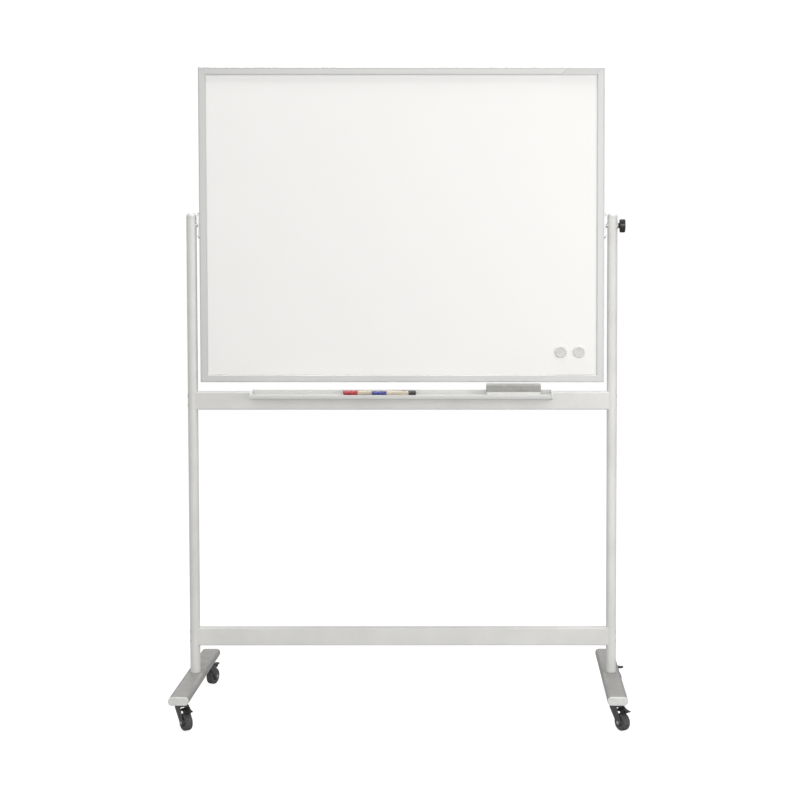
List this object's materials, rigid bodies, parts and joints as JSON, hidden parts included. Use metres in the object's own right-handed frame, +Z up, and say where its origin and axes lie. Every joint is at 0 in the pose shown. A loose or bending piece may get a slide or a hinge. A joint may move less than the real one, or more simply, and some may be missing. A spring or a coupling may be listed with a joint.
{
  "type": "rolling whiteboard",
  "caption": "Revolving double-sided whiteboard on a two-column stand with braked swivel casters, a clamp knob and a pen tray.",
  "frame": {"origin": "on the floor, at the centre of the whole object's box; the stand's own mid-plane is 14 mm towards -X of it", "axes": "+Z up, +X to the writer's right along the board, -Y towards the writer, with the pen tray on the -Y side"},
  "size_m": [1.3421, 0.5574, 1.92],
  "materials": {
    "light_grey_paint": "satin powder coat",
    "anodised_aluminium": "satin anodised",
    "white_enamel": "gloss enamel",
    "core_board": "raw fibreboard",
    "light_grey_plastic": "matte",
    "label_grey": "satin",
    "zinc_steel": "bright zinc",
    "nylon": "matte",
    "black_plastic": "satin",
    "fork_grey": "satin paint",
    "tyre_grey": "matte",
    "hub_grey": "matte",
    "marker_white": "gloss",
    "cap_red": "gloss",
    "cap_blue": "gloss",
    "cap_black": "gloss",
    "eraser_grey": "matte",
    "felt_white": "felt",
    "magnet_grey": "satin"
  },
  "bodies": {
    "stand": {"left_column": "light_grey_paint", "right_column": "light_grey_paint", "column_caps": "light_grey_plastic", "upper_rail": "light_grey_paint", "lower_rail": "light_grey_paint", "rail_bolts": "zinc_steel", "frame_inserts": "zinc_steel", "left_foot": "light_grey_paint", "right_foot": "light_grey_paint", "foot_end_caps": "light_grey_plastic", "foot_bolts": "zinc_steel", "pen_tray": "anodised_aluminium", "tray_end_caps": "light_grey_plastic", "tray_screws": "zinc_steel", "pivot_bushes": "nylon", "caster_stems": "zinc_steel"},
    "board": {"front_sheet": "white_enamel", "board_core": "core_board", "back_sheet": "white_enamel", "frame_top": "anodised_aluminium", "frame_bottom": "anodised_aluminium", "frame_left": "anodised_aluminium", "frame_right": "anodised_aluminium", "corner_keys": "zinc_steel", "label_plate": "label_grey", "left_pivot_plate": "zinc_steel", "right_pivot_plate": "zinc_steel", "pivot_plate_screws": "zinc_steel", "pivot_blocks": "zinc_steel"},
    "knob": {"clamp_knob": "black_plastic"},
    "front_left_swivel": {"front_left_fork": "fork_grey", "front_left_axle": "zinc_steel"},
    "front_left_wheel": {"front_left_tyre": "tyre_grey", "front_left_hub": "hub_grey"},
    "front_left_pedal": {"front_left_brake_pedal": "black_plastic"},
    "front_right_swivel": {"front_right_fork": "fork_grey", "front_right_axle": "zinc_steel"},
    "front_right_wheel": {"front_right_tyre": "tyre_grey", "front_right_hub": "hub_grey"},
    "front_right_pedal": {"front_right_brake_pedal": "black_plastic"},
    "back_left_swivel": {"back_left_fork": "fork_grey", "back_left_axle": "zinc_steel"},
    "back_left_wheel": {"back_left_tyre": "tyre_grey", "back_left_hub": "hub_grey"},
    "back_left_pedal": {"back_left_brake_pedal": "black_plastic"},
    "back_right_swivel": {"back_right_fork": "fork_grey", "back_right_axle": "zinc_steel"},
    "back_right_wheel": {"back_right_tyre": "tyre_grey", "back_right_hub": "hub_grey"},
    "back_right_pedal": {"back_right_brake_pedal": "black_plastic"},
    "red_marker": {"red_marker_barrel": "marker_white"},
    "red_cap": {"red_marker_cap": "cap_red"},
    "black_marker": {"black_marker_barrel": "marker_white"},
    "black_cap": {"black_marker_cap": "cap_black"},
    "blue_marker": {"blue_marker_barrel": "marker_white"},
    "blue_cap": {"blue_marker_cap": "cap_blue"},
    "eraser": {"eraser_body": "eraser_grey", "eraser_felt": "felt_white"},
    "left_magnet": {"left_magnet": "magnet_grey"},
    "right_magnet": {"right_magnet": "magnet_grey"}
  },
  "joints": [
    {"name": "board_pivot", "type": "hinge", "parent": "stand", "child": "board", "pos_m": [-0.014, 0, 1.452], "axis": [1, 0, 0], "continuous": true},
    {"name": "knob_turn", "type": "hinge", "parent": "board", "child": "knob", "pos_m": [0.646, 0, 1.452], "axis": [1, 0, 0], "range_deg": [0, 360]},
    {"name": "front_left_swivel_turn", "type": "hinge", "parent": "stand", "child": "front_left_swivel", "pos_m": [-0.642, -0.225, 0.07], "axis": [0, 0, 1], "continuous": true},
    {"name": "front_left_wheel_roll", "type": "hinge", "parent": "front_left_swivel", "child": "front_left_wheel", "pos_m": [-0.62599, -0.24549, 0.025], "axis": [0.788, 0.6157, 0], "continuous": true},
    {"name": "front_left_brake_press", "type": "hinge", "parent": "front_left_swivel", "child": "front_left_pedal", "pos_m": [-0.62907, -0.24155, 0.0605], "axis": [0.788, 0.6157, 0], "range_deg": [0, 12]},
    {"name": "front_right_swivel_turn", "type": "hinge", "parent": "stand", "child": "front_right_swivel", "pos_m": [0.614, -0.225, 0.07], "axis": [0, 0, 1], "continuous": true},
    {"name": "front_right_wheel_roll", "type": "hinge", "parent": "front_right_swivel", "child": "front_right_wheel", "pos_m": [0.62891, -0.2463, 0.025], "axis": [0.8192, 0.5736, 0], "continuous": true},
    {"name": "front_right_brake_press", "type": "hinge", "parent": "front_right_swivel", "child": "front_right_pedal", "pos_m": [0.62605, -0.2422, 0.0605], "axis": [0.8192, 0.5736, 0], "range_deg": [0, 12]},
    {"name": "back_left_swivel_turn", "type": "hinge", "parent": "stand", "child": "back_left_swivel", "pos_m": [-0.642, 0.225, 0.07], "axis": [0, 0, 1], "continuous": true},
    {"name": "back_left_wheel_roll", "type": "hinge", "parent": "back_left_swivel", "child": "back_left_wheel", "pos_m": [-0.63226, 0.24911, 0.025], "axis": [-0.9272, 0.3746, 0], "continuous": true},
    {"name": "back_left_brake_press", "type": "hinge", "parent": "back_left_swivel", "child": "back_left_pedal", "pos_m": [-0.63413, 0.24447, 0.0605], "axis": [-0.9272, 0.3746, 0], "range_deg": [0, 12]},
    {"name": "back_right_swivel_turn", "type": "hinge", "parent": "stand", "child": "back_right_swivel", "pos_m": [0.614, 0.225, 0.07], "axis": [0, 0, 1], "continuous": true},
    {"name": "back_right_wheel_roll", "type": "hinge", "parent": "back_right_swivel", "child": "back_right_wheel", "pos_m": [0.64, 0.225, 0.025], "axis": [0, 1, 0], "continuous": true},
    {"name": "back_right_brake_press", "type": "hinge", "parent": "back_right_swivel", "child": "back_right_pedal", "pos_m": [0.635, 0.225, 0.0605], "axis": [0, 1, 0], "range_deg": [0, 12]},
    {"name": "red_marker_lift", "type": "slide", "parent": "stand", "child": "red_marker", "axis": [0, 0, 1], "range_m": [0, 0.06]},
    {"name": "red_cap_pull", "type": "slide", "parent": "red_marker", "child": "red_cap", "axis": [-1, 0, 0], "range_m": [0, 0.05]},
    {"name": "black_marker_lift", "type": "slide", "parent": "stand", "child": "black_marker", "axis": [0, 0, 1], "range_m": [0, 0.06]},
    {"name": "black_cap_pull", "type": "slide", "parent": "black_marker", "child": "black_cap", "axis": [1, 0, 0], "range_m": [0, 0.05]},
    {"name": "blue_marker_lift", "type": "slide", "parent": "stand", "child": "blue_marker", "axis": [0, 0, 1], "range_m": [0, 0.06]},
    {"name": "blue_cap_pull", "type": "slide", "parent": "blue_marker", "child": "blue_cap", "axis": [-1, 0, 0], "range_m": [0, 0.05]},
    {"name": "eraser_lift", "type": "slide", "parent": "stand", "child": "eraser", "axis": [0, 0, 1], "range_m": [0, 0.06]},
    {"name": "left_magnet_pull", "type": "slide", "parent": "board", "child": "left_magnet", "axis": [0, -1, 0], "range_m": [0, 0.05]},
    {"name": "right_magnet_pull", "type": "slide", "parent": "board", "child": "right_magnet", "axis": [0, -1, 0], "range_m": [0, 0.05]}
  ]
}
